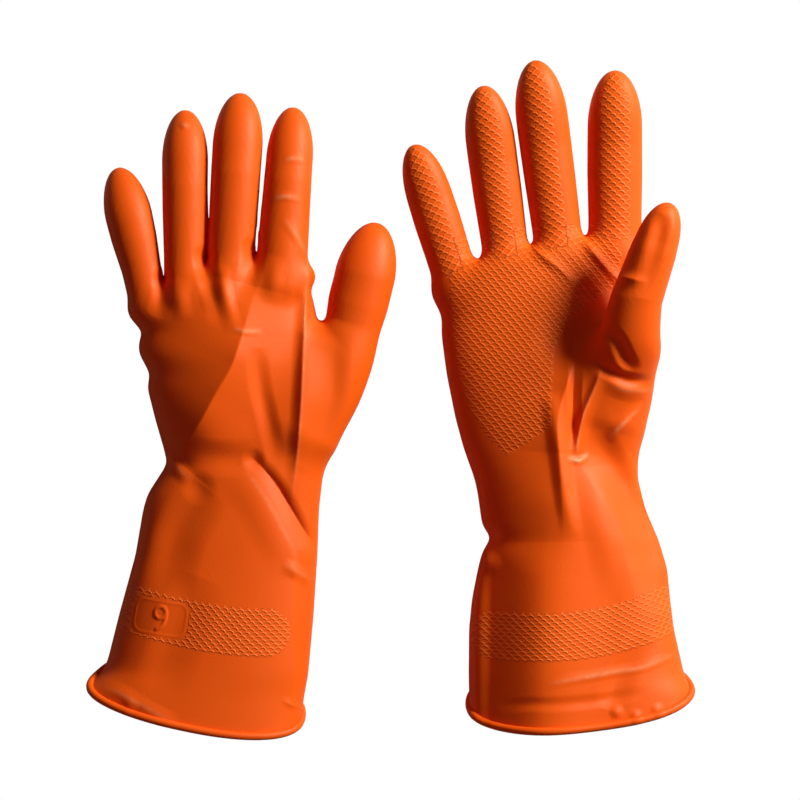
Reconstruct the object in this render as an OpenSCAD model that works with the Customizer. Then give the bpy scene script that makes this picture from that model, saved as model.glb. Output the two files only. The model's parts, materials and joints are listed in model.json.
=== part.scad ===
// A pair of household rubber gloves lying on a flat surface. The left glove lies palm down and
// the right glove palm up, so both have their thumb on the +X side. The origin is on that
// surface, under the middle of the pair; fingers point to +Y and +Z is up. Millimetres.

/* [Film] */
// Thickness of the latex film
film_t = 0.6; // [0.4:0.1:1.2]
// Diameter of the bead rolled at the cuff's rim
bead_d = 5; // [3.6:0.2:6.4]
// Gap left at each line where the film flexes
zone_gap = 0.3; // [0.2:0.1:0.8]

/* [Gauntlet and hand] */
// Width of the open cuff at its rim
cuff_w = 100; // [92:1:108]
// Height of the open cuff at its rim
cuff_h = 45; // [38:1:52]
// Width of the wrist
wrist_w = 75; // [68:1:82]
// Height of the wrist
wrist_h = 35; // [30:1:40]
// Width of the hand at the knuckles
palm_w = 90; // [86:1:96]
// Height of the hand at the knuckles
palm_h = 31; // [27:1:36]
// Lean of the rim, which brings its upper edge forward
rim_lean = 22; // [5:1:30]

/* [Fingers] */
// Length of the thumb from its flexing line to its tip
thumb_len = 50; // [44:1:58]
// Length of the index finger from its flexing line to its tip
index_len = 71; // [62:1:80]
// Length of the middle finger from its flexing line to its tip
middle_len = 77; // [68:1:86]
// Length of the ring finger from its flexing line to its tip
ring_len = 70; // [62:1:78]
// Length of the little finger from its flexing line to its tip
little_len = 52; // [46:1:60]
// Width of the thumb
thumb_w = 25.5; // [22:0.5:27]
// Width of the index finger
index_w = 23.8; // [21:0.2:24.6]
// Width of the middle finger
middle_w = 24.2; // [21:0.2:24.6]
// Width of the ring finger
ring_w = 22; // [19:0.2:22.4]
// Width of the little finger
little_w = 21.8; // [18:0.2:22.6]
// Height of a finger as a share of its width
finger_flat = 0.82; // [0.7:0.01:0.95]
// Width of a finger at its flexing line as a share of its full width
root_share = 0.92; // [0.8:0.01:0.92]
// Length of a finger's rounded end as a share of its width
tip_share = 1.05; // [0.8:0.05:1.3]
// Share of a finger's length that lies before its middle flexing line
knee_share = 0.48; // [0.42:0.01:0.54]

/* [Hidden] */
SIDES = ["left", "right"];
FINGERS = ["thumb", "index", "middle", "ring", "little"];
SEGMENTS = ["base", "tip"];

RUBBER = [0.93, 0.33, 0.08];
BEAD = [0.86, 0.28, 0.07];

bead_r = bead_d / 2;
centring = [0.88, 0.41, 0]; // puts the origin under the middle of the pair
sink = 1.5;                // how far a section would reach below the surface if it weren't flattened
arm_sides = 40;            // points round the gauntlet and the hand
finger_sides = 20;         // points round a finger
bead_sides = 10;           // points round the bead
share_sides = 5;           // points of the knuckle ring that each finger takes, above and below
web_share = 0.4;           // how far a web reaches from the knuckle ring towards the fingers' roots
crotch_back = 4;           // how far behind the film's outer surface its inner one parts at a crotch
web_angle = 50;            // where a web meets a finger, above and below the finger's middle
thumb_rows = [1, 3];       // the hand's rings before and after the opening into the thumb
tip_steps = [22, 42, 58, 72, 83];
dome_limit = 0.85;         // the most of a finger's end segment that its rounded end takes

finger_len = [thumb_len, index_len, middle_len, ring_len, little_len];
finger_w = [thumb_w, index_w, middle_w, ring_w, little_w];

// How each glove lies. An arm row is [station, x, y, yaw]: station 0 is the rim, 1 the wrist and
// 2 the knuckles, and the widths follow from it.
ARM = [
    [[0, -89.5, -142.5, -9], [0.25, -83.8, -120, -9], [0.5, -79.3, -95, -8], [0.6, -77.5, -78, -7],
     [0.78, -74.5, -52, -5], [1, -67, -30, 0],
     [1.12, -66.5, -20, 0], [1.35, -71, 0, 3], [1.58, -73, 19, 6], [2, -80, 52, 16]],
    [[0, 86, -142, 7], [0.2, 84, -125, 5], [0.45, 81.5, -98, 1], [0.65, 82.5, -75, 0],
     [0.9, 80, -57, 1], [1, 76, -38, 2],
     [1.12, 73.5, -27, 2], [1.28, 70, -9, 3], [1.45, 68, 10, 4], [2, 67, 64, 13]]
];
// Where the knuckle ring parts into index, middle, ring and little finger, in degrees round its top.
KNUCKLES = [[0, 67, 98, 127, 180], [0, 62, 94, 124.5, 180]];
// How wide the cuff lies, and how wide and how high the hand does, as shares of their named sizes.
LIE = [[1, 0.98, 1.06], [1.03, 1.08, 0.92]];
// A finger row is [x, y, z, yaw, pitch of the base, pitch of the tip, reach, width share, height share],
// where x, y, z is the middle of its flexing line. Reach below 1 is a finger drawn in on itself.
LAY = [
    [[-18.6, 34, 16, -13.5, -2, -6, 0.98, 1.13, 0.95],
     [-51, 70, 17, -4.6, -3, -8, 0.92, 0.93, 1],
     [-74.8, 70, 17, -3.4, -3, -8, 0.94, 0.93, 1],
     [-95.8, 66, 16.5, 0, -3, -8, 0.965, 0.93, 1],
     [-115.7, 60, 15.5, 13, -3, -8, 0.93, 0.93, 1]],
    [[111.3, 45, 45, -15, 8, 4, 0.94, 0.9, 1.2],
     [102.3, 84, 14, 0.5, 3, 8, 0.95, 1.04, 0.94],
     [75, 79.5, 14, 7.3, 3, 8, 1, 1, 0.94],
     [51.4, 75, 13.5, 8, 3, 8, 1, 1, 0.94],
     [25.8, 68, 13, 17.7, 3, 8, 1, 1.02, 0.94]]
];
// The mound that carries the thumb: rows of [x, y, z, yaw, pitch, width, height] from the opening in
// the hand's side to just before the thumb's flexing line.
MOUND = [
    [[-21.5, 14, 16.3, -50, 0, 27, 30], [-20.3, 22, 16.2, -35, -1, 26.5, 26]],
    [[107.5, 14.5, 33.5, -35, 33, 30, 26], [109.5, 30, 41, -23, 22, 26, 25.5]]
];
// The opening in the hand's side that the mound starts from: how many points of a ring it spans below
// and above the side, and how many points the mound's rings are turned against it. They add up to 8.
THUMB_OPENING = [[4, 4, 0], [1, 7, 2]];

function heading(yaw, pitch) = [-sin(yaw) * cos(pitch), cos(yaw) * cos(pitch), sin(pitch)];
function across(yaw) = [cos(yaw), sin(yaw), 0];
function upward(yaw, pitch) = cross(across(yaw), heading(yaw, pitch));
function mix(a, b, t) = a + (b - a) * t;
function along(a, b, c, t) = t <= 1 ? mix(a, b, t) : mix(b, c, t - 1);

// A section is [centre, yaw, pitch, width, height, lowest z].
function section(c, yaw, pitch, w, h, low = 0) = [c, yaw, pitch, w, h, low];
// A section's points at some angles, inset by a film's thickness for the inner surface, and kept
// above its lowest z.
function ring_at(s, angles, inset = 0) = [
    for (a = angles)
        let (p = s[0] + across(s[1]) * (s[3] / 2 - inset) * cos(a)
                 + upward(s[1], s[2]) * (s[4] / 2 - inset) * sin(a))
            [p.x, p.y, max(p.z, s[5] + inset)]
];
function ring(s, n, inset = 0) = ring_at(s, [for (i = [0 : n - 1]) 360 * i / n], inset);
function moved(s, distance) = section(s[0] + heading(s[1], s[2]) * distance, s[1], s[2], s[3], s[4], s[5]);

function arm_section(g, row) =
    let (t = row[0],
         w = along(cuff_w * LIE[g][0], wrist_w, palm_w * LIE[g][1], t),
         h = along(cuff_h, wrist_h, palm_h * LIE[g][2], t),
         rim = max(0, 1 - t / 0.4),
         low = bead_r * rim)
        section([row[1], row[2], h / 2 - sink * (1 - rim) + low * 0.6], row[3], rim_lean * rim, w, h, low);
function arm(g, from, to) = [for (row = ARM[g]) if (row[0] >= from && row[0] <= to) arm_section(g, row)];

function finger_reach(g, f) = finger_len[f] * LAY[g][f][6];
function finger_full_w(g, f) = finger_w[f] * LAY[g][f][7];
function finger_full_h(g, f) = finger_w[f] * finger_flat * LAY[g][f][8];
// Width and height at a share t of the finger's length, before its rounded end.
function swell(t) = mix(root_share, 1, min(1, t * 3));
function root_section(g, f) =
    let (r = LAY[g][f])
        section([r[0], r[1], r[2]], r[3], r[4],
                finger_full_w(g, f) * root_share, finger_full_h(g, f) * root_share);
function base_section(g, f, t) =
    let (r = LAY[g][f], k = knee_share * finger_reach(g, f))
        section([r[0], r[1], r[2]] + heading(r[3], r[4]) * k * t, r[3], mix(r[4], (r[4] + r[5]) / 2, t),
                finger_full_w(g, f) * swell(t * knee_share), finger_full_h(g, f) * swell(t * knee_share));
function knee_section(g, f) = base_section(g, f, 1);
function tip_section(g, f, distance, size) =
    let (r = LAY[g][f], knee = knee_section(g, f))
        section(knee[0] + heading(r[3], r[5]) * distance, r[3], r[5],
                finger_full_w(g, f) * size, finger_full_h(g, f) * size);

function base_sections(g, f) =
    [moved(base_section(g, f, 0), zone_gap / 2), base_section(g, f, 1 / 3), base_section(g, f, 2 / 3),
     moved(knee_section(g, f), -zone_gap / 2)];
// The tip starts at the knee and ends in a long rounded dome. Its inner surface stops a film short.
function tip_sections(g, f, inset = 0) =
    let (beyond_knee = (1 - knee_share) * finger_reach(g, f),
         dome = min(finger_w[f] * tip_share, beyond_knee * dome_limit),
         straight = beyond_knee - dome)
        concat([moved(knee_section(g, f), zone_gap / 2), tip_section(g, f, straight * 0.5, 1)],
               [tip_section(g, f, straight, 1)],
               [for (a = tip_steps) tip_section(g, f, straight + (dome - inset) * sin(a), cos(a))]);

function rings(sections, n, inset = 0) = [for (s = sections) ring(s, n, inset)];
function backwards(list) = [for (i = [len(list) - 1 : -1 : 0]) list[i]];
function flat(list) = [for (part = list) each part];
function side_faces(m, n, wrap) = [
    for (j = [0 : m - (wrap ? 1 : 2)], i = [0 : n - 1])
        let (a = j * n + i, b = j * n + (i + 1) % n,
             c = ((j + 1) % m) * n + (i + 1) % n, d = ((j + 1) % m) * n + i)
            each [[a, b, c], [a, c, d]]
];

// A solid between its first ring and its last, with both ends closed.
module capped(list, n) {
    m = len(list);
    polyhedron(flat(list), concat(side_faces(m, n, false),
        [[for (i = [n - 1 : -1 : 0]) i]], [[for (i = [0 : n - 1]) (m - 1) * n + i]]));
}
// A wall whose rings run out along one surface and back along the other.
module looped(list, n) {
    polyhedron(flat(list), side_faces(len(list), n, true));
}
module open_tube(sections, n) {
    looped(concat(rings(sections, n), backwards(rings(sections, n, film_t))), n);
}

module cuff_bead(g) {
    rim = arm_section(g, ARM[g][0]);
    centre = ring(rim, arm_sides);
    color(BEAD) looped([
        for (i = [0 : arm_sides - 1])
            let (p = centre[i],
                 out = p - rim[0],
                 outward = out / norm(out),
                 back = -heading(rim[1], rim[2]))
                [for (k = [0 : bead_sides - 1])
                    let (a = 360 * k / bead_sides)
                        p + [0, 0, max(0, bead_r - p.z)] + (outward * cos(a) + back * sin(a)) * bead_r]
    ], bead_sides);
}
module gauntlet(g) {
    sections = arm(g, 0, 1);
    last = len(sections) - 1;
    color(RUBBER) open_tube([for (i = [0 : last])
                                 i < last ? sections[i] : moved(sections[i], -zone_gap / 2)],
                            arm_sides);
}

// The hand is one surface, built twice: the outer one, and the inner one with an inset. Loops are
// lists of points, and triangles join each loop to the next.
function strip(a, b) =
    [for (i = [0 : len(a) - 2]) each [[a[i], a[i + 1], b[i + 1]], [a[i], b[i + 1], b[i]]]];
function closed(loop) = concat(loop, [loop[0]]);
function band(a, b) = strip(closed(a), closed(b));
function turned(triangles) = [for (t = triangles) [t[0], t[2], t[1]]];

function hand_angles(g) =
    let (k = KNUCKLES[g],
         top = [for (f = [0 : 3], i = [0 : share_sides - 1]) mix(k[f], k[f + 1], i / share_sides)])
        concat(top, [180], [for (i = [len(top) - 1 : -1 : 1]) 360 - top[i]]);
// The hand's rings, from the wrist's flexing line to the knuckles. In the crotches the inner surface
// parts further back than the outer one, so that the film stays whole there.
function hand_rings(g, inset) =
    let (s = arm(g, 1, 2), angles = hand_angles(g), n = len(angles))
        [for (j = [0 : len(s) - 1])
            let (loop = ring_at(moved(s[j], j == 0 ? zone_gap / 2 : 0), angles, inset),
                 back = [0, inset > 0 ? -crotch_back : 0, 0])
                [for (i = [0 : n - 1])
                    loop[i] + back * (at_opening(g, n, i, j) ? 1 : at_crotch(g, n, i, j) ? 0.5 : 0)]];
function at_opening(g, n, i, j) =
    j == thumb_rows[1] && (i <= THUMB_OPENING[g][1] || i >= n - THUMB_OPENING[g][0]);
function at_crotch(g, n, i, j) =
    j == len(arm(g, 1, 2)) - 1 && i % share_sides == 0 && i % (4 * share_sides) != 0;

// The middle between finger f's root and the next one's, and the web there, from above to below.
function between(g, f) =
    (ring(root_section(g, f), finger_sides)[finger_sides / 2]
     + ring(root_section(g, f + 1), finger_sides)[0]) / 2;
function web(g, knuckles, f, inset) =
    let (n = len(knuckles), above = knuckles[share_sides * f], below = knuckles[n - share_sides * f],
         forward = between(g, f) - (above + below) / 2,
         reach = [forward.x, forward.y, 0] * (inset > 0 ? web_share / 2 : web_share))
        [for (k = [1 : share_sides - 1])
            mix(above, below, k / share_sides) + reach * sin(180 * k / share_sides)];
// Finger f's share of the knuckle ring, closed by the webs at its sides, and the matching angles.
function finger_loop(g, knuckles, f, inset) =
    let (n = len(knuckles), first = share_sides * (f - 1), last = first + share_sides)
        concat([for (i = [first : last]) knuckles[i]],
               f < 4 ? web(g, knuckles, f, inset) : [],
               [for (i = [n - last + (f < 4 ? 0 : 1) : n - first - (f > 1 ? 0 : 1)]) knuckles[i]],
               f > 1 ? backwards(web(g, knuckles, f - 1, inset)) : []);
function finger_angles(f) =
    let (first = f > 1 ? web_angle : 0, last = f < 4 ? 180 - web_angle : 180, m = share_sides)
        concat([for (i = [0 : m]) mix(first, last, i / m)],
               f < 4 ? [for (k = [1 : m - 1]) mix(last, 360 - last, k / m)] : [],
               [for (i = [f < 4 ? 0 : 1 : f > 1 ? m : m - 1]) mix(360 - last, 360 - first, i / m)],
               f > 1 ? [for (k = [1 : m - 1]) mix(360 - first, 360 + first, k / m)] : []);

// The opening in the hand's side that the thumb's mound starts from, as a loop in the order of a
// ring's points: its rear edge, its upper one, its front one and its lower one.
function thumb_loop(g, rings) =
    let (below = THUMB_OPENING[g][0], above = THUMB_OPENING[g][1], turn = THUMB_OPENING[g][2],
         rear = thumb_rows[0], front = thumb_rows[1], n = len(rings[0]),
         loop = concat([for (i = [-below : above]) rings[rear][(i + n) % n]],
                       [for (j = [rear + 1 : front - 1]) rings[j][above]],
                       [for (i = [above : -1 : -below]) rings[front][(i + n) % n]],
                       [for (j = [front - 1 : -1 : rear + 1]) rings[j][n - below]]),
         shift = (below + above) / 2 - turn)
        [for (k = [0 : finger_sides - 1]) loop[(k + shift) % finger_sides]];
function thumb_loops(g, rings, inset) =
    let (sections = concat([for (m = MOUND[g]) section([m[0], m[1], m[2]], m[3], m[4], m[5], m[6])],
                           [moved(root_section(g, 0), -zone_gap / 2)]))
        concat([thumb_loop(g, rings)], [for (s = sections) ring(s, finger_sides, inset)]);
function finger_end(g, f, inset) =
    ring_at(moved(root_section(g, f), -zone_gap / 2), finger_angles(f), inset);

function hand_surface(g, inset) =
    let (rings = hand_rings(g, inset), last = len(rings) - 1, n = len(rings[0]),
         thumb = thumb_loops(g, rings, inset), beside = [THUMB_OPENING[g][1] : n - THUMB_OPENING[g][0]])
        concat(
            [for (j = [0 : last - 1])
                each j >= thumb_rows[0] && j < thumb_rows[1]
                    ? strip([for (i = beside) rings[j][i]], [for (i = beside) rings[j + 1][i]])
                    : band(rings[j], rings[j + 1])],
            [for (k = [0 : len(thumb) - 2]) each band(thumb[k], thumb[k + 1])],
            [for (f = [1 : 4]) each band(finger_loop(g, rings[last], f, inset), finger_end(g, f, inset))]);
// The open ends, where the outer surface turns into the inner one.
function hand_edges(g) =
    let (root = moved(root_section(g, 0), -zone_gap / 2))
        concat(band(hand_rings(g, film_t)[0], hand_rings(g, 0)[0]),
               band(ring(root, finger_sides), ring(root, finger_sides, film_t)),
               [for (f = [1 : 4]) each band(finger_end(g, f, 0), finger_end(g, f, film_t))]);
module hand(g) {
    triangles = concat(hand_surface(g, 0), turned(hand_surface(g, film_t)), hand_edges(g));
    color(RUBBER) polyhedron([for (t = triangles) each t],
                             [for (k = [0 : len(triangles) - 1]) [3 * k, 3 * k + 1, 3 * k + 2]]);
}
module finger_base(g, f) {
    color(RUBBER) open_tube(base_sections(g, f), finger_sides);
}
module finger_tip(g, f) {
    color(RUBBER) capped(concat(backwards(rings(tip_sections(g, f, film_t), finger_sides, film_t)),
                                rings(tip_sections(g, f), finger_sides)), finger_sides);
}

for (g = [0, 1]) {
    side = SIDES[g];
    translate(centring) {
        cuff_bead(g);
        gauntlet(g);
        hand(g);
        for (f = [0 : 4]) {
            finger_base(g, f);
            finger_tip(g, f);
        }
    }
}
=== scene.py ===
"""A pair of household rubber gloves on a plain surface: the left one palm down, the right one palm up.

Each glove is one dipped latex film. It is modelled as a smooth field in a grid of voxels, meshed,
smoothed and pressed into folds, then cut into one skin for each zone of film between flexing lines.
"""
import json
import math

import bpy
import numpy as np
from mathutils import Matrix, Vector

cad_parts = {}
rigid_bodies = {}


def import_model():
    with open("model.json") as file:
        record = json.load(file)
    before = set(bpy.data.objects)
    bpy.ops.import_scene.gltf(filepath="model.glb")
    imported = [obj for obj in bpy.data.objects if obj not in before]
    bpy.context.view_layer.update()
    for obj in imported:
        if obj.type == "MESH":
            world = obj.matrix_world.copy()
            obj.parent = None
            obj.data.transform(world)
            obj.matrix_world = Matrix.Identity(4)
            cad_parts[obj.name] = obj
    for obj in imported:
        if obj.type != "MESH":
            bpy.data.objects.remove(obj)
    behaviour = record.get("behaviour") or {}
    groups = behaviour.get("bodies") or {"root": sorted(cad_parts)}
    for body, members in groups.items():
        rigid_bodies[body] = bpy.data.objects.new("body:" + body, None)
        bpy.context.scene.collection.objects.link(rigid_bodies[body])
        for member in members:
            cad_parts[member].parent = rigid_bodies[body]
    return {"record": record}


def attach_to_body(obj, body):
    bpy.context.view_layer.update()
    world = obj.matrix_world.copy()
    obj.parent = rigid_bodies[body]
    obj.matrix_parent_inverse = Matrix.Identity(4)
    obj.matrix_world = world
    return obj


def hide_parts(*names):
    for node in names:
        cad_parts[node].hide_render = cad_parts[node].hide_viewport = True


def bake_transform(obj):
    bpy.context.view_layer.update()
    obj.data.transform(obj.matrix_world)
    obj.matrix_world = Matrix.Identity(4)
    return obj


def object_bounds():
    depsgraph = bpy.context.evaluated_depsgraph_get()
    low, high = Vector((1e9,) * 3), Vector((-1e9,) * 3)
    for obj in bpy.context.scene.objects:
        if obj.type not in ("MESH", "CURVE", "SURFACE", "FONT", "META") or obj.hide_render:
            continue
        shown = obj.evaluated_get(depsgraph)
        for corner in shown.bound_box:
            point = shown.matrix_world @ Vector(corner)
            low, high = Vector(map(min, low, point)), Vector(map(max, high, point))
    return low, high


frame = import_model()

import openvdb
from mathutils import Vector
from mathutils.bvhtree import BVHTree

CAD_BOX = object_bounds()

# Lengths are in millimetres, in the frame of the CAD model, unless a name says otherwise.
MM = 0.001
VOXEL = 1.1
FILM = 0.6
SMOOTH_PALM = 6.0  # reach of the fillet between a finger and the palm
SMOOTH_THUMB = 13.0
SMOOTH_FLOOR = 3.0
SECTION_POWER = 2.3  # 2 is an ellipse, more is boxier
DOME_LENGTH = 25.0  # of a digit's rounded end
DIGIT_START, DIGIT_STEP = -22.0, 1.5  # samples along a digit, from its root line
REAR_START = 6.0  # a digit's inner end is rounded off from here
REAR_LENGTH = 10.0
SMOOTH_FRONT = 9.0  # reach of the rounding at the palm's front edge
SUNK = 1.5  # how far the arm's section reaches below the surface, which flattens its underside
TABLE_STEP, TABLE_OVER = 0.5, 30.0  # a table's fine steps, and how far it goes on past its ends
SPLINE_STEP = 0.08  # as a share of the way from one knot to the next
SMOOTHING = 5.0  # reach of the rounding of an outline's corners
SMOOTHING_FRONT = 3.0
GRID_BOX = {"left": [(-147, -163, -4), (8, 160, 66)], "right": [(0, -163, -4), (147, 160, 66)]}
FIELD_LIMIT = 5.0  # the field is cut off this far from the surface
ARM_END, ARM_TOP = 92.0, 55.0  # the arm's field is worked out only up to here
FAR = 12.0  # the field beyond that, and how far round a digit its own field is worked out
FINGERS = ["thumb", "index", "middle", "ring", "little"]
ROOT_BLEND = (-1.5, 12.0)  # where a finger's skin would start and end turning at its root line; worked out, but no turn is made
KNEE_BLEND = 10.0  # on each side of the finger's middle line
WRIST_BLEND = 15.0
# Where each digit's skin starts, along the digit from its root joint.
SEAM_BEFORE_ROOT = {"thumb": -4.5, "index": -3.0, "middle": -3.0, "ring": -3.0, "little": -3.0}
SEAM_PAST_WRIST = 17.0  # from the wrist's fold to the edge between gauntlet and hand
SEAM_REACH = 3.0  # film this close to a digit's field may belong to it
SEAM_KNEE_SHARE = 0.5  # the seam between a digit's base and tip, as a share of the way to its knee

# The arm's outline: its left and right edge and its height against y, the palm's front edge against x,
# and the middle of the rim (x, y) with its yaw.
ARMS = {
    "left": {
        "left_edge": [(-150, -149), (-141, -147), (-134, -145), (-129.5, -140), (-124, -132.6),
                      (-119, -130.5), (-98, -125.3), (-71, -118), (-50, -114.5), (-43, -112.5),
                      (-36, -108), (-29, -103.5), (-22, -105.2), (-9, -109), (6, -112.8),
                      (12, -112.2), (16, -113.6), (22, -116.8), (28, -116.8), (32, -115.6),
                      (36, -118), (40, -121), (52, -124.4), (66, -126.3)],
        "right_edge": [(-160, -42), (-146, -41.5), (-136, -40.4), (-126, -38.5), (-98, -36), (-71, -34.3),
                       (-50, -33.6), (-36, -32), (-29, -31.5), (-9, -31), (19, -31.5), (33, -33.5),
                       (46, -36.3), (50, -35.8), (56, -34), (62, -34.2)],
        "height": [(-150, 46), (-120, 43), (-98, 41), (-71, 38), (-50, 36), (-29, 34), (-9, 33), (19, 32.5),
                   (52, 30), (70, 27)],
        "front": [(-130, 40), (-118, 46), (-105.8, 50.5), (-95, 57), (-85.6, 60.5), (-75, 63), (-64.4, 63.5),
                  (-50, 63), (-37, 61), (-30, 50)],
        "rim": (-89.0, -136.0, -11.4),
    },
    "right": {
        "left_edge": [(-160, 35), (-145, 35.6), (-126, 35.2), (-105, 35.4), (-91, 36.8), (-77, 39.6),
                      (-70, 41.4), (-63.8, 44.9), (-57, 41.4), (-43, 39.5), (-36, 38), (-22, 33),
                      (-8, 29.2), (12, 25.2), (33, 22.4), (40, 22.2), (47, 19.6), (54, 17.2), (67, 14.8)],
        "right_edge": [(-160, 141), (-142, 140), (-133, 138), (-126, 134.2), (-105, 129.5), (-91, 127.8),
                       (-77, 126.5), (-64, 122.6), (-50, 116.6), (-36, 113.2), (-22, 113.4), (-8, 115),
                       (12, 116), (40, 116), (60, 117), (75, 116)],
        "height": [(-150, 46), (-120, 43), (-98, 41), (-71, 38), (-50, 36), (-29, 34), (-9, 33), (19, 32),
                   (52, 29), (80, 26)],
        "front": [(15, 52), (28, 60), (40, 64.5), (52, 69), (63.9, 70), (76, 74), (88.7, 74), (104, 77),
                  (118, 68)],
        "rim": (87.4, -135.6, 5.2),
    },
}
WEAR_REACH = 1.6  # how far white wear spreads from a fold's crest
RIM_LEAN = 30.0  # degrees that the mouth leans, so that its upper side stands out
RIM_HIGH = 22.5  # height at which the rim's place is given
RIM_TUCK = 0.55  # the film stops this far short of the bead's middle, so that its edge is hidden
BEAD_RADIUS = 1.8
BEAD_TURNS, BEAD_SIDES = 360, 14
BEAD_ROUNDS = 12  # in which its middle line settles on the leaning rim

# Each digit: where its root line is (x, y, z), its yaw to the left, the pitch of its base and of its
# tip, its reach, its height as a share of its width, then its width at shares of the reach.
DIGITS = {
    "left": {
        "thumb": (-18, 34.4, 16, -13.3, -2, -6, 49, 0.80, [(0, 26), (0.2, 27.8), (0.5, 28), (1, 26)]),
        "index": (-50.3, 70.4, 17, -4.2, -3, -8, 65.4, 0.88, [(0, 23.4), (0.3, 22.4), (0.6, 21.6), (1, 22)]),
        "middle": (-73.9, 70.4, 17, -3.2, -3, -8, 72, 0.85, [(0, 21.8), (0.3, 22.6), (0.6, 23), (1, 23.5)]),
        "ring": (-95.2, 66.4, 16.5, 0.4, -3, -8, 68, 0.88, [(0, 19.7), (0.3, 20.8), (0.6, 21.2), (1, 22)]),
        "little": (-115.4, 60.4, 15.5, 13.6, -3, -8, 48.6, 0.84, [(0, 18.4), (0.3, 21), (0.6, 22), (1, 22)]),
    },
    "right": {
        "thumb": (110.4, 45.4, 45, -19, 8, 4, 46.2, 0.98, [(0, 23.5), (0.3, 22), (0.6, 20.6), (1, 22)]),
        "index": (102.8, 84.4, 14, 0.3, 3, 8, 67.3, 0.78, [(0, 24.6), (0.3, 25.4), (0.6, 25.2), (1, 24.4)]),
        "middle": (75.8, 79.9, 14, 7.7, 3, 8, 77, 0.78, [(0, 22.6), (0.3, 23.6), (0.6, 24.1), (1, 23)]),
        "ring": (51.5, 75.4, 13.5, 8, 3, 8, 70, 0.78, [(0, 21.5), (0.3, 22.6), (0.6, 22.8), (1, 22)]),
        "little": (25.6, 68.4, 13, 17.8, 3, 8, 51.8, 0.8, [(0, 21), (0.3, 21.6), (0.6, 21), (1, 21.4)]),
    },
}
# How the thumb grows out of the palm: stations before its root line (x, y, z, width, height).
MOUNDS = {
    "left": [(-44, -18, 17, 32, 29), (-33, 2, 16.5, 35, 29), (-24.3, 19, 16.2, 31.5, 26)],
    "right": [(98, -14, 18, 31, 26), (102.8, 8, 25, 32, 28), (107.3, 27, 36, 28, 28)],
}
KNEE_SHARE = 0.48

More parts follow.
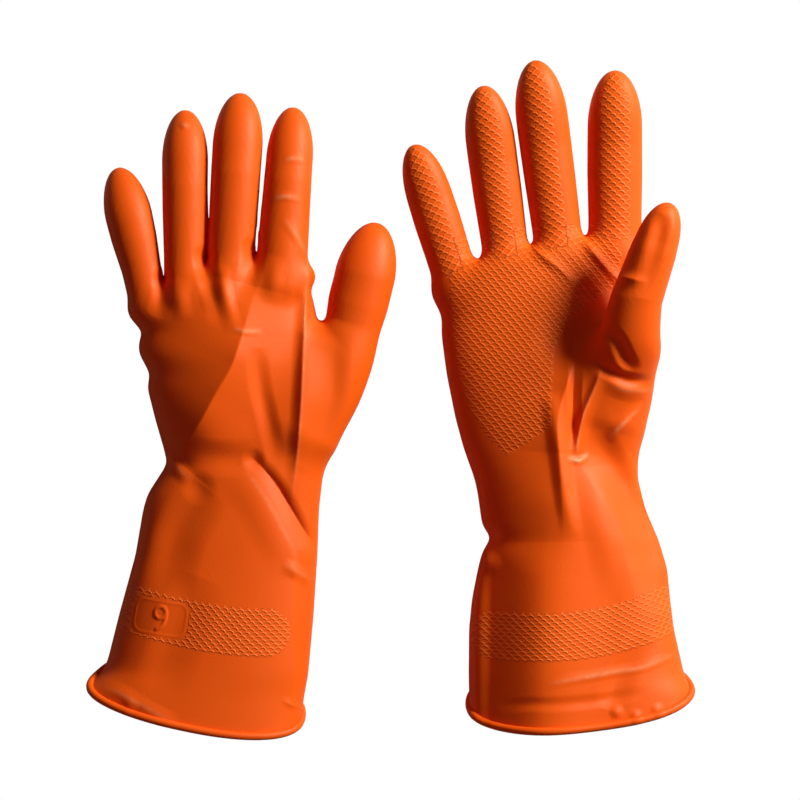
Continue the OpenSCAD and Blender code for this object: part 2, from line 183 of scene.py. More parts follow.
# Folds pressed into the upper side of the film. Each is a smooth line through a few places
# (x, y, height), its width on the left and on the right of that line, its profile (1 a roof,
# 2 a sharp crest, 0 rounded) and how much white wear its crest carries.
FOLDS = {
    "left": [
        ([(-62, 52, 0), (-69, 27, 7), (-73, 15, 8.5), (-80, 3, 8.5), (-88, -11, 7), (-100, -26, 0)],
         40, 46, 2, 0.0),
        ([(-38, 84, 0), (-38.2, 63, 1.6), (-39.6, 46, 2.4), (-40.5, 25, 2.6), (-41.4, 0, 2.6), (-43, -22, 2),
          (-46, -46, 0)], 16, 5.5, 2, 0.2),
        ([(-65, -25, 0), (-59, -30.6, -1.8), (-52.4, -38.6, -2.6), (-46, -49.5, -2.8), (-39.6, -60.4, -2.2),
          (-34, -68, 0)], 5, 17, 2, 0.0),
        ([(-68, -30, 0), (-62, -38, 1), (-56, -47, 1.3), (-50, -58, 1.2), (-45, -68, 0.8), (-42, -80, 0)],
         12, 16, 0, 0.2),
        ([(-50, -74, 0), (-43, -78, 1), (-36, -83, 0)], 4, 5, 0, 0.2),
        ([(-61, 24, 0), (-61, 16, -1), (-59.7, 5, -1.2), (-56.5, -9, -1.2), (-52.4, -29, 0)], 6, 6, 0, 0.0),
        ([(-26, 32, 0), (-27, 17.5, -1.3), (-28, 0, -1.8), (-33, -15, -1.6), (-40, -31, 0)], 9, 12, 0, 0.0),
        ([(-73, 33, 0), (-66, 31.4, 0.4), (-59, 31.4, 0)], 2.6, 2.6, 0, 0.4),
        ([(-95, -24, 0), (-82, -25.6, -1.3), (-71, -25.8, -1.5), (-58, -23, 0)], 9, 10, 0, 0.0),
        ([(-106, -22, 0), (-99, -30, 1), (-91, -37, 0)], 5, 5, 0, 0.2),
        ([(-84, -40, 0), (-91, -50, -1.8), (-98, -62, -2.4), (-102, -78, -1.4), (-104, -92, 0)],
         15, 13, 0, 0.0),
        ([(-88, -80, 0), (-94, -96, -1.4), (-102, -116, -1.4), (-109, -135, 0)], 16, 12, 0, 0.0),
        ([(-133, -130, 0), (-124, -132.5, 0.6), (-116, -136.6, 0.8), (-104, -143, 0.6), (-97, -147, 0)],
         5, 5, 0, 0.2),
        ([(-50, -136, 0), (-45, -139, 0.8), (-37, -143, 0)], 3, 3, 2, 0.0),
        ([(-40.5, -68, 0), (-41.2, -85, -1), (-41, -120, -1.2), (-42, -140, -0.6)], 5, 4, 0, 0.0),
        ([(-50, 110, 0), (-45, 111, 0.25), (-39, 109.8, 0)], 3, 3, 0, 0.35),
        ([(-56, 91.5, 0), (-49, 93.4, 0.35), (-41, 91.6, 0)], 3, 3, 0, 0.45),
        ([(-50, 84, 0), (-44, 76, 0.4), (-38.5, 66, 0)], 4, 4, 0, 0.3),
        ([(-98, 126, 0), (-95.6, 126.8, 0.5), (-93, 126, 0)], 3, 3, 0, 0.3),
        ([(-86, 66, -2), (-84.6, 58, -2), (-81, 46, -1), (-78, 34, 0)], 7, 6, 0, 0.0),
        ([(-105, 56, -2), (-105, 48, -1.6), (-108, 38, 0)], 6, 6, 0, 0.0),
        ([(-63.8, 70, -2), (-65, 60, -1.8), (-71, 46, 0)], 7, 6, 0, 0.0),
        ([(-76, 62, 0), (-77, 52, 1.3), (-74, 40, 0.8), (-71, 30, 0)], 5, 6, 0, 0.0),
        ([(-96, 56, 0), (-97, 46, 1), (-95, 36, 0)], 6, 6, 0, 0.0),
        ([(-53, 66, 0), (-54, 55, 0.8), (-56, 44, 0)], 6, 6, 0, 0.0),
    ],
    "right": [
        ([(86.5, 76, 0.6), (92, 68, 1.8), (101.6, 57, 1.8), (108, 54.5, 1.2), (115, 53, 0)], 5, 5, 2, 0.0),
        ([(63, 72.5, 0.4), (69.2, 66.2, 1.4), (79.7, 57.6, 1), (88, 50, 0)], 5, 5, 2, 0.0),
        ([(96, 33, 0), (101.6, 27, -2), (106, 19, -2.4), (110.5, 12.5, 0)], 5, 5, 0, 0.0),
        ([(92, 17, 0), (97, 14.3, -1.5), (105.7, 10.2, -1.9), (113, 9, -1.1), (119.5, 9, 0)], 4, 5, 0, 0.0),
        ([(97, 9, 0), (105, 5, 1), (113, 4.6, 1), (120, 5, 0)], 5, 6, 0, 0.2),
        ([(98, -18, 0), (105, -11, 1.2), (114.5, -1.5, 0)], 5, 6, 0, 0.4),
        ([(83.5, 24, 0), (82.4, 5.2, -1.8), (82.2, -12, -2), (82, -22, 0)], 4, 2.6, 1, 0.0),
        ([(95, 16, 0), (92.4, 7.5, 1.2), (86.5, -7, 1.8), (84.3, -18, 1.8), (84, -25, 0)], 6, 3.2, 2, 0.2),
        ([(79.5, -26, 0), (85, -27.4, 1.1), (90, -24, 0)], 2.6, 2.6, 2, 0.7),
        ([(96, 52, 0), (89, 34, 4), (81, 12, 6), (75.5, -8, 7), (76, -26, 6), (77, -44, 3), (77.5, -64, 0)],
         34, 50, 2, 0.0),
        ([(78, -24, 0), (77, -40, 2.4), (76, -60, 5), (72, -80, 5.4), (70, -105, 5), (70, -165, 4)],
         32, 40, 0, 0.0),
        ([(92, -30, 0), (95, -50, 1.6), (100, -70, 1.4), (103, -92, 0)], 14, 12, 0, 0.0),
        ([(118, -108, 0), (108, -118, -1.4), (101, -130, -1.4), (98, -140, 0)], 10, 8, 0, 0.0),
        ([(72, 4, 0), (73, -4, 1), (76.5, -26, 1.8), (79, -45, 1.6), (82, -62, 0)], 6, 6, 0, 0.0),
        ([(88, -4, 0), (95, -21, -1.8), (104, -36, -3), (114, -53, -3.6), (120.5, -78, -3), (125, -97, 0)],
         10, 13, 0, 0.0),
        ([(47, -30, 0), (47, -46, -0.5), (47.5, -62, -1.8), (46, -85, -2.8), (45.5, -120, -2.8),
          (44, -165, -2)], 24, 8, 0, 0.0),
        ([(48, -139, 0), (62, -137.4, -0.6), (77, -137, -0.7), (100, -135, -0.7), (116, -131.5, 0)],
         4, 4, 0, 0.0),
        ([(70, -128, 0), (84, -125.6, 0.4), (101, -123, 0.5), (114, -121, 0.4), (131, -115, 0)],
         3.4, 3.4, 0, 0.4),
        ([(35, -144, 0), (37, -145, 1), (40, -147, 0)], 3, 3, 2, 0.0),
        ([(112, 46, 0), (116, 60, -1), (120.4, 76, -1.8), (122, 84, 0)], 6, 6, 0, 0.0),
    ],
}
# Rounded dents and bumps in the upper side: x, y, radius and height.
DENTS = {
    "left": [(-88, -40, 9, -1.0), (-119, -138, 5, 0.6), (-79, 47, 10, 1.0), (-63, -27, 6, -1.0)],
    "right": [(81.5, 26.6, 20, -2.6), (101.6, -141, 4, 0.8), (110.5, -143, 4, 0.8), (120.5, -140.5, 4, 0.8),
              (44, -74, 7, 1.2), (66, -60, 20, -1.5)],
}
# Where the outline is pushed sideways: x, y, radius and how far to the right.
PUSHES = {
    "left": [(-34, 60.5, 4.5, 1.8), (-35, 51, 4, -1.6), (-114.5, 31, 4.5, 0.6), (-111.5, 12, 4.5, 0.5)],
    "right": [(46, -62, 4, 0.8), (24, 36, 5, 0.6), (121.5, 21, 8, 1.5), (115.5, -12, 9, -1.0)],
}

# The raised net of the grip. On the palm it fills this outline of the right glove; the left glove has
# it mirrored, on its underside. On a finger it lies between these shares of the width.
NET_PALM = [(20, 74), (26, 55), (26.5, 38), (29.5, 15), (33.5, -1), (41, -14), (52, -26), (61.5, -20),
            (72.5, -12), (73, 4), (74, 23), (80, 34), (90, 43), (102, 52), (106, 66), (100, 82), (60, 80)]
NET_SHARE = {"index": (-0.31, 0.28), "middle": (-0.36, 0.21), "ring": (-0.30, 0.26), "little": (-0.30, 0.25)}
PALM_MIRROR = -3.0
NET_PALM_SHARE = 0.9  # how fully the palm's net stands out
NET_EDGE = 1.2  # over which the net fades out
NET_START = -12.0  # where a finger's net starts, from its root line
NET_TIP_GAP, NET_TIP_LENGTH = 1.5, 12.0
NET_TURN = 0.3  # the net fades out where the film faces its side by less than this
# Cells of the net, across and along.
FINGER_CELL = (4.2, 3.9)
PALM_CELL = (4.4, 3.2)
PALM_NET_YAW = -14.0
BAND_CELL = (3.7, 3.3)
# The net bands round the gauntlets: their middle lines, and half their width.
BANDS = {
    "left": [(-139, -86), (-122, -94), (-115, -96), (-90, -102), (-68, -105), (-57, -105.5)],
    "right": [(46, -107), (66, -107.3), (88, -106), (110, -101.5), (125, -96)],
}
BAND_HALF = 11.2
WINDOW_SIZE = (23.6, 14.8)  # the plain field in the left band, round the size number
WINDOW_YAW = -9.0
NUMBER_NINE = [(2.4, 2.4), (1.4, 4.6), (-0.8, 5.0), (-2.5, 3.3), (-2.3, 1.0), (-0.4, -0.2), (1.6, 0.6),
               (2.4, 2.2), (2.3, -1.0), (1.2, -3.6), (-0.8, -5.2)]
NUMBER_HALF = 0.75  # half the width of its stroke
NUMBER_EDGE = 0.6
WINDOW_CORNER = 4.0
WINDOW_RIM_HALF = 0.8
MARK_RISE = 0.4  # height of the raised number
WINDOW_RIM = 0.4  # as a share of the number's height


# ---- curves and fields

def table(pairs, at, smooth=SMOOTHING):
    """Value at each place in at, from a few (place, value) pairs, with the corners rounded."""
    x = np.array([p[0] for p in pairs], float)
    y = np.array([p[1] for p in pairs], float)
    fine = np.arange(x[0] - TABLE_OVER, x[-1] + TABLE_OVER, TABLE_STEP)
    value = np.interp(fine, x, y)
    half = max(1, int(smooth / TABLE_STEP))
    kernel = np.hanning(2 * half + 1)
    padded = np.pad(value, half, mode="edge")
    return np.interp(at, fine, np.convolve(padded, kernel / kernel.sum(), mode="valid"))


def spline(knots, spans):
    """Rows along a smooth curve through the first knots."""
    made = []
    for i in range(spans):
        p0, p1, p2, p3 = (knots[min(max(0, k), len(knots) - 1)] for k in range(i - 1, i + 3))
        for t in np.arange(0, 1, SPLINE_STEP):
            made.append(0.5 * (2 * p1 + (p2 - p0) * t + (2 * p0 - 5 * p1 + 4 * p2 - p3) * t * t
                               + (3 * p1 - p0 - 3 * p2 + p3) * t ** 3))
    return np.array(made)


def smooth_min(a, b, k):
    """The lesser of two fields, blended over a reach of k."""
    h = np.clip(0.5 + 0.5 * (b - a) / k, 0, 1)
    return b * (1 - h) + a * h - k * h * (1 - h)


def smooth_step(t):
    t = np.clip(t, 0, 1)
    return t * t * (3 - 2 * t)


def facing_up(up):
    """How fully folds show on film whose normal has this share upward."""
    return smooth_step((up - 0.05) / 0.35)


def across(yaw):
    """The way to the right of something turned left by yaw degrees."""
    a = math.radians(yaw)
    return np.array([math.cos(a), math.sin(a)])


def ahead(yaw):
    """The way ahead of something turned left by yaw degrees."""
    a = math.radians(yaw)
    return np.array([-math.sin(a), math.cos(a)])


def digit_stations(side, name):
    """Samples along a digit: distance from its root line, x, y, z, half width and half height."""
    x, y, z, yaw, pitch, tip_pitch, reach, flat, widths = DIGITS[side][name]
    s = np.arange(DIGIT_START, reach + 0.1, DIGIT_STEP)
    knee = reach * KNEE_SHARE
    way = ahead(yaw)
    rise = np.where(s < knee, s * math.tan(math.radians(pitch)),
                    knee * math.tan(math.radians(pitch)) + (s - knee) * math.tan(math.radians(tip_pitch)))
    width = np.interp(s / reach, [w[0] for w in widths], [w[1] for w in widths])
    path = np.stack([s, x + way[0] * s, y + way[1] * s, z + rise, width / 2, width * flat / 2], axis=1)
    if name == "thumb":
        path = np.concatenate([mound_stations(side, path[s >= 0]), path[s >= 0]])
    return path


def mound_stations(side, digit):
    """The thumb's way out of the palm, as a smooth curve through the mound's stations."""
    knots = np.array([row[:3] + (row[3] / 2, row[4] / 2) for row in MOUNDS[side]])
    knots = np.concatenate([knots, digit[:1, 1:], digit[4:5, 1:]])
    made = spline(knots, len(MOUNDS[side]))
    step = np.linalg.norm(np.diff(np.concatenate([made[:, :2], digit[:1, 1:3]]), axis=0), axis=1)
    s = -np.cumsum(step[::-1])[::-1]
    return np.concatenate([s[:, None], made], axis=1)


def digit_field(points, side, name):
    """Rough distance of each point to a digit's surface, and its place along and right of the digit."""
    path = digit_stations(side, name)
    reach = DIGITS[side][name][6]
    way = np.gradient(path[:, 1:3], axis=0)
    way /= np.linalg.norm(way, axis=1)[:, None]
    best = np.full(len(points), 1e9)
    near = np.zeros(len(points), int)
    for i, row in enumerate(path):
        d = (points[:, 0] - row[1]) ** 2 + (points[:, 1] - row[2]) ** 2
        closer = d < best
        best[closer] = d[closer]
        near[closer] = i
    along = ((points[:, :2] - path[near, 1:3]) * way[near]).sum(axis=1)
    beside_it = np.clip(near + np.where(along > 0, 1, -1), 0, len(path) - 1)
    gap = np.linalg.norm(path[beside_it, 1:3] - path[near, 1:3], axis=1)
    share = np.where(gap > 0, np.clip(np.abs(along) / np.maximum(gap, 1e-9), 0, 1), 0)[:, None]
    row = path[near] * (1 - share) + path[beside_it] * share
    heading = way[near] * (1 - share) + way[beside_it] * share
    heading /= np.linalg.norm(heading, axis=1)[:, None]
    offset = points[:, :2] - row[:, 1:3]
    along = (offset * heading).sum(axis=1)
    aside = offset[:, 0] * heading[:, 1] - offset[:, 1] * heading[:, 0]
    s = row[:, 0] + along
    start = path[0, 0] + REAR_START
    end = np.maximum(s - (reach - DOME_LENGTH), 0) / DOME_LENGTH
    rear = np.maximum(start - s, 0) / REAR_LENGTH
    above = points[:, 2] - row[:, 3]
    q = np.sqrt((aside / row[:, 4]) ** 2 + (above / row[:, 5]) ** 2 + end ** 2 + rear ** 2)
    size = 1 / np.sqrt((aside / row[:, 4] ** 2) ** 2 + (above / row[:, 5] ** 2) ** 2
                       + (end / DOME_LENGTH) ** 2 + (rear / REAR_LENGTH) ** 2 + 1e-6)
    return (q - 1) * q * size, s, aside


def arm_field(points, side):
    """Rough distance of each point to the surface of the gauntlet and the palm."""
    arm = ARMS[side]
    x, y, z = points[:, 0], points[:, 1], points[:, 2]
    left = table(arm["left_edge"], y)
    right = table(arm["right_edge"], y)
    high = table(arm["height"], y) / 2
    u = (x - (left + right) / 2) / ((right - left) / 2)
    v = (z - high + SUNK) / high
    q = (np.abs(u) ** SECTION_POWER + np.abs(v) ** SECTION_POWER) ** (1 / SECTION_POWER) + 1e-6
    wide = (right - left) / 2
    slope = np.sqrt((np.abs(u / q) ** (SECTION_POWER - 1) / wide) ** 2
                    + (np.abs(v / q) ** (SECTION_POWER - 1) / high) ** 2)
    body = (q - 1) / slope
    front = y - table(arm["front"], x, SMOOTHING_FRONT)
    return -smooth_min(-body, -front, SMOOTH_FRONT)


def glove_grid(side):
    """The glove's field on a grid, negative inside."""
    low, high = np.array(GRID_BOX[side], float)
    count = np.ceil((high - low) / VOXEL).astype(int)
    axes = [low[i] + VOXEL * np.arange(count[i]) for i in range(3)]
    grid = np.stack(np.meshgrid(*axes, indexing="ij"), axis=-1).reshape(-1, 3)
    body = np.full(len(grid), FAR)
    near = (grid[:, 1] < ARM_END) & (grid[:, 2] < ARM_TOP)
    body[near] = arm_field(grid[near], side)
    result = body.copy()
    for name in FINGERS:
        path = digit_stations(side, name)
        size = path[:, 4:6].max() + FAR
        inside = ((grid[:, 0] > path[:, 1].min() - size) & (grid[:, 0] < path[:, 1].max() + size)
                  & (grid[:, 1] > path[:, 2].min() - size) & (grid[:, 1] < path[:, 2].max() + size))
        d, s, _ = digit_field(grid[inside], side, name)
        k = SMOOTH_PALM
        if name == "thumb":
            k = SMOOTH_THUMB * smooth_step((4 - s) / 18) + 0.6
        result[inside] = np.minimum(result[inside], smooth_min(body[inside], d, k))
    result = -smooth_min(-result, grid[:, 2], SMOOTH_FLOOR)
    return np.clip(result, -FIELD_LIMIT, FIELD_LIMIT).reshape(count).astype(np.float32), low


# ---- meshes

def quads_of(field, low):
    """The field's zero surface as points and outward quads."""
    grid = openvdb.FloatGrid(FIELD_LIMIT)
    grid.copyFromArray(field)
    points, quads = grid.convertToQuads(isovalue=0.0)
    points = np.asarray(points, float) * VOXEL + low
    quads = np.asarray(quads, int)
    a, b, c = points[quads[:, 0]], points[quads[:, 1]], points[quads[:, 2]]
    if (np.cross(b - a, c - a) * a).sum() < 0:
        quads = quads[:, ::-1]
    return points, quads


def sums(at, weights, count):
    """Adds up rows of weights by the index that at gives for each."""
    return np.stack([np.bincount(at, weights=weights[:, i], minlength=count) for i in range(3)], axis=1)


def relax(points, quads, rounds=2, factor=0.5):
    """Evens the mesh out by moving each point towards the middle of its neighbours, then back."""
    n = len(points)
    e = np.concatenate([quads[:, [i, (i + 1) % 4]] for i in range(4)])
    count = np.bincount(e[:, 0], minlength=n)[:, None]
    for _ in range(rounds):
        for f in (factor, -factor * 1.04):
            points = points + f * (sums(e[:, 0], points[e[:, 1]], n) / count - points)
    return points


def refine(points, quads):
    """One Catmull-Clark step. The four new faces of quad i are 4 i to 4 i + 3."""
    n, m = len(points), len(quads)
    e = np.concatenate([quads[:, [i, (i + 1) % 4]] for i in range(4)])
    pairs, which = np.unique(np.sort(e, axis=1), axis=0, return_inverse=True)
    which = which.reshape(4, m).T
    face = points[quads].mean(axis=1)
    middle = (points[pairs[:, 0]] + points[pairs[:, 1]]) / 2
    around = sums(which.ravel(), np.repeat(face, 4, axis=0), len(pairs)) / 2
    edge = (middle + around) / 2
    count = np.bincount(quads.ravel(), minlength=n)[:, None]
    sum_face = sums(quads.ravel(), np.repeat(face, 4, axis=0), n)
    sum_edge = sums(pairs[:, 0], middle, n) + sums(pairs[:, 1], middle, n)
    moved = (sum_face / count + 2 * sum_edge / count + (count - 3) * points) / count
    made = np.concatenate([moved, edge, face])
    corner, side, centre = quads, n + which, n + len(pairs) + np.arange(m)[:, None]
    faces = np.stack([np.concatenate([corner[:, [i]], side[:, [i]], centre, side[:, [(i + 3) % 4]]], axis=1)
                      for i in range(4)], axis=1).reshape(-1, 4)
    return made, faces, pairs


def normals_of(points, quads):
    p = points[quads]
    n = np.cross(p[:, 2] - p[:, 0], p[:, 3] - p[:, 1])
    total = sum(sums(quads[:, i], n, len(points)) for i in range(4))
    return total / np.maximum(np.linalg.norm(total, axis=1), 1e-9)[:, None]


def new_object(name, points, loops, starts, values, normals=None):
    """A smooth-shaded object from arrays: points in mm, the faces' corners and where each face starts."""
    mesh = bpy.data.meshes.new(name)
    mesh.vertices.add(len(points))
    mesh.vertices.foreach_set("co", (points * MM).astype(np.float32).ravel())
    mesh.loops.add(len(loops))
    mesh.loops.foreach_set("vertex_index", loops.astype(np.int32))
    mesh.polygons.add(len(starts))
    mesh.polygons.foreach_set("loop_start", starts.astype(np.int32))
    mesh.polygons.foreach_set("use_smooth", np.ones(len(starts), bool))
    mesh.update(calc_edges=True)
    if normals is not None:
        mesh.normals_split_custom_set_from_vertices(normals.astype(np.float32))
    for key, value in values.items():
        attribute = mesh.attributes.new(key, "FLOAT", "POINT")
        attribute.data.foreach_set("value", value.astype(np.float32))
    thing = bpy.data.objects.new(name, mesh)
    bpy.context.scene.collection.objects.link(thing)
    return thing


# ---- folds, grip net and size number

def beside(places, knots):
    """For each place (x, y): distance to a smooth line, how far left of it and along it, the line's row."""
    knots = np.array(knots, float)
    path = np.concatenate([spline(knots, len(knots) - 1), knots[-1:]])
    step = np.diff(path[:, :2], axis=0)
    length = np.linalg.norm(step, axis=1)
    run = np.concatenate([[0], np.cumsum(length)])
    best = np.full(len(places), 1e18)
    away, along = np.zeros(len(places)), np.zeros(len(places))
    rows = np.zeros((len(places), path.shape[1]))
    for i in np.flatnonzero(length > 1e-6):
        way = step[i] / length[i]
        offset = places - path[i, :2]
        free = offset @ way
        t = np.clip(free, 0, length[i])
        d = ((offset - t[:, None] * way) ** 2).sum(axis=1)
        closer = d < best
        best[closer] = d[closer]
        away[closer] = (way[0] * offset[:, 1] - way[1] * offset[:, 0])[closer]
        past_end = (i == 0) & (free < 0) | (i == len(length) - 1) & (free > 0)
        along[closer] = (run[i] + np.where(past_end, free, t))[closer]
        share = (t / length[i])[closer, None]
        rows[closer] = path[i] * (1 - share) + path[i + 1] * share
    return np.sqrt(best), away, along, rows


def near_line(places, knots, reach):
    """Which places lie in the box round a line's knots, grown by reach."""
    knots = np.array(knots, float)[:, :2]
    low, high = knots.min(axis=0) - reach, knots.max(axis=0) + reach
    return np.flatnonzero(((places > low) & (places < high)).all(axis=1))


def rise_of(places, side):
    """How far the folds and dents lift the upper side at each place, and the white wear there."""
    rise, wear = np.zeros(len(places)), np.zeros(len(places))
    for knots, left_width, right_width, profile, worn in FOLDS[side]:
        close = near_line(places, knots, max(left_width, right_width))
        distance, away, _, rows = beside(places[close], knots)
        t = np.clip(1 - distance / np.where(away > 0, left_width, right_width), 0, 1)
        shape = smooth_step(t) if profile == 0 else t ** profile
        rise[close] += rows[:, 2] * shape
        tallest = max(abs(k[2]) for k in knots)
        line = worn * np.clip(1 - distance / WEAR_REACH, 0, 1) * np.abs(rows[:, 2]) / tallest
        wear[close] = np.maximum(wear[close], line)
    for x, y, radius, height in DENTS[side]:
        rise += height * smooth_step(1 - np.hypot(places[:, 0] - x, places[:, 1] - y) / radius)
    return rise, wear


def push(points, side):
    for x, y, radius, far in PUSHES[side]:
        weight = np.exp(-((points[:, 0] - x) ** 2 + (points[:, 1] - y) ** 2) / radius ** 2)
        points[:, 0] += weight * far
    return points


def inside_by(places, outline):
    """How far each place is inside a closed outline; negative outside."""
    corners = np.array(outline, float)
    best = np.full(len(places), 1e9)
    inside = np.zeros(len(places), bool)
    for a, b in zip(corners, np.roll(corners, -1, axis=0)):
        way = b - a
        offset = places - a
        t = np.clip((offset @ way) / (way @ way), 0, 1)
        best = np.minimum(best, np.linalg.norm(offset - t[:, None] * way, axis=1))
        cross = (a[1] > places[:, 1]) != (b[1] > places[:, 1])
        with np.errstate(divide="ignore", invalid="ignore"):
            meets = (b[0] - a[0]) * (places[:, 1] - a[1]) / (b[1] - a[1]) + a[0]
        inside ^= cross & (places[:, 0] < meets)
    return np.where(inside, best, -best)


def window_frame(places, middle):
    """Places in the size window's own directions, from its middle."""
    offset = places - middle
    return np.stack([offset @ across(WINDOW_YAW), offset @ ahead(WINDOW_YAW)], axis=1)


def in_window(local, grow=0.0):
    """How far each place is inside the rounded size window."""
    q = np.abs(local) - (np.array(WINDOW_SIZE) / 2 + grow - WINDOW_CORNER)
    return WINDOW_CORNER - np.linalg.norm(np.maximum(q, 0), axis=1) - np.minimum(q.max(axis=1), 0)


def marks_of(places, middle):
    """Height of the raised size number and of the rim of its window."""
    local = window_frame(places, middle)
    distance = np.full(len(places), 99.0)
    close = near_line(local, NUMBER_NINE, 3)
    distance[close] = beside(local[close], NUMBER_NINE)[0]
    number = smooth_step((NUMBER_HALF + NUMBER_EDGE / 2 - distance) / NUMBER_EDGE)
    rim = smooth_step(1 - np.abs(in_window(local)) / WINDOW_RIM_HALF)
    return MARK_RISE * np.maximum(number, WINDOW_RIM * rim), number


def net_of(points, normals, side, window):
    """The grip's net: its cell coordinates across and along, and how fully it is there, for each point."""
    net = np.zeros((3, len(points)))
    palm_up = normals[:, 2] * (1 if side == "right" else -1)
    facing = smooth_step(palm_up / NET_TURN)

    def lay(which, u, v, mask):
        better = mask > net[2, which]
        chosen = which[better]
        net[0, chosen], net[1, chosen], net[2, chosen] = u[better], v[better], mask[better]

    places = points[:, :2].copy()
    mirrored = places if side == "right" else places * [-1, 1] + [PALM_MIRROR, 0]
    which = near_line(mirrored, NET_PALM, 0)
    which = which[palm_up[which] > 0]
    turned = np.stack([mirrored[which] @ across(PALM_NET_YAW), mirrored[which] @ ahead(PALM_NET_YAW)], axis=1)
    lay(which, turned[:, 0] / PALM_CELL[0], turned[:, 1] / PALM_CELL[1],
        NET_PALM_SHARE * smooth_step(inside_by(mirrored[which], NET_PALM) / NET_EDGE) * facing[which])
    for name, (low, high) in NET_SHARE.items():
        x, y, _, yaw, _, _, reach, _, widths = DIGITS[side][name]
        which = near_line(places, [(x, y), (x + ahead(yaw)[0] * reach, y + ahead(yaw)[1] * reach)], 14)
        which = which[palm_up[which] > 0]
        _, s, aside = digit_field(points[which], side, name)
        width = np.interp(s / reach, [w[0] for w in widths], [w[1] for w in widths])
        if side == "left":
            aside = -aside
        taper = np.sqrt(np.clip((reach - NET_TIP_GAP - s) / NET_TIP_LENGTH, 0, 1))
        middle = (low + high) / 2
        edge = (high - low) / 2 * taper - np.abs(aside / width - middle)
        mask = smooth_step(edge * width / NET_EDGE) * smooth_step((s - NET_START) / 3) * facing[which]
        lay(which, aside / FINGER_CELL[0], s / FINGER_CELL[1], mask)
    which = near_line(places, BANDS[side], BAND_HALF + 2)
    distance, away, along, _ = beside(places[which], BANDS[side])
    mask = smooth_step(BAND_HALF - distance)
    if side == "left":
        outside = -in_window(window_frame(places[which], window), 1.0)
        mask *= smooth_step(outside) + (normals[which, 2] < 0)
    mask = np.clip(mask, 0, 1) * np.abs(normals[which, 2]) ** 0.2
    lay(which, along / BAND_CELL[0], away / BAND_CELL[1], mask)
    return net


# ---- zones of film

def rim_plane(side):
    """The middle of the rim (x, y), the way ahead of it and the slope it leans with."""
    x, y, yaw = ARMS[side]["rim"]
    way = ahead(yaw)
    lean = math.tan(math.radians(RIM_LEAN))
    return x, y, way, lean


def past_rim(points, side):
    """How far a point lies beyond the rim, towards the fingers."""
    x, y, way, lean = rim_plane(side)
    return (points[:, 0] - x) * way[0] + (points[:, 1] - y) * way[1] + (points[:, 2] - RIM_HIGH) * lean


def joint(side, what):
    """Where the CAD model has a joint, in mm."""
    for j in frame["record"]["behaviour"]["joints"]:
        if j["name"] == f"{side}_{what}":
            return np.array(j["pos_m"]) / MM
    raise KeyError(what)


def zones(points, unfolded, side):
    """Which skin each point belongs to: 0 none, 1 gauntlet, 2 hand, then base and tip of each digit.

    unfolded has the same points without the folds, as the rim's bead is laid out.
    """
    zone = np.full(len(points), 2)
    zone[points[:, 1] < joint(side, "wrist_fold")[1] + SEAM_PAST_WRIST] = 1
    zone[past_rim(unfolded, side) < RIM_TUCK] = 0
    nearest = np.full(len(points), SEAM_REACH)
    for i, name in enumerate(FINGERS):
        d, s, _ = digit_field(points, side, name)
        x, y, _, yaw = DIGITS[side][name][:4]
        hinge = (joint(side, f"{name}_root_bend")[:2] - [x, y]) @ ahead(yaw)
        mine = (s > hinge + SEAM_BEFORE_ROOT[name]) & (d < nearest)
        nearest[mine] = d[mine]
        zone[mine] = 3 + 2 * i
        zone[mine & (s > DIGITS[side][name][6] * KNEE_SHARE * SEAM_KNEE_SHARE)] = 4 + 2 * i
    return zone


def skin(faces_in, coarse, coarse_quads, fine, fine_quads, fine_normals, pairs, values):
    """A closed shell of film: the fine outer surface, a plainer inner one, and walls at its borders."""
    n = len(coarse)
    inner_quads = coarse_quads[faces_in][:, ::-1]
    outer = fine_quads[(faces_in[:, None] * 4 + np.arange(4)).ravel()]
    used_inner = np.unique(inner_quads)
    used_outer = np.unique(outer)
    e = np.concatenate([coarse_quads[faces_in][:, [i, (i + 1) % 4]] for i in range(4)])
    _, first, count = np.unique(np.sort(e, axis=1), axis=0, return_index=True, return_counts=True)
    border = e[first[count == 1]]
    key = pairs[:, 0].astype(np.int64) * n + pairs[:, 1]
    wanted = np.sort(border, axis=1)
    middle = n + np.searchsorted(key, wanted[:, 0].astype(np.int64) * n + wanted[:, 1])
    new_outer = np.full(len(fine), -1)
    new_outer[used_outer] = np.arange(len(used_outer))
    new_inner = np.full(n, -1)
    new_inner[used_inner] = len(used_outer) + np.arange(len(used_inner))
    inner_points = coarse[used_inner] - FILM * fine_normals[used_inner]
    points = np.concatenate([fine[used_outer], inner_points])
    quads = [new_outer[outer], new_inner[inner_quads]]
    a, b, m = new_outer[border[:, 0]], new_outer[border[:, 1]], new_outer[middle]
    c, d = new_inner[border[:, 0]], new_inner[border[:, 1]]
    normals = np.concatenate([fine_normals[used_outer], -fine_normals[used_inner]])
    plain_inside = np.zeros(len(used_inner))
    own_values = {what: np.concatenate([value[used_outer], plain_inside]) for what, value in values.items()}
    return points, quads, (a, b, m, c, d), normals, own_values


def shell_object(name, points, quads, wall, normals, values):
    """The shell's mesh: quads outside and inside, and three triangles for each border edge."""
    a, b, m, c, d = wall
    triangles = np.concatenate([np.stack([a, c, m], 1), np.stack([m, c, d], 1), np.stack([m, d, b], 1)])
    squares = np.concatenate(quads)
    loops = np.concatenate([squares.ravel(), triangles.ravel()])
    starts = np.concatenate([np.arange(0, squares.size, 4), np.arange(squares.size, len(loops), 3)])
    return new_object(name, points, loops, starts, values, normals)


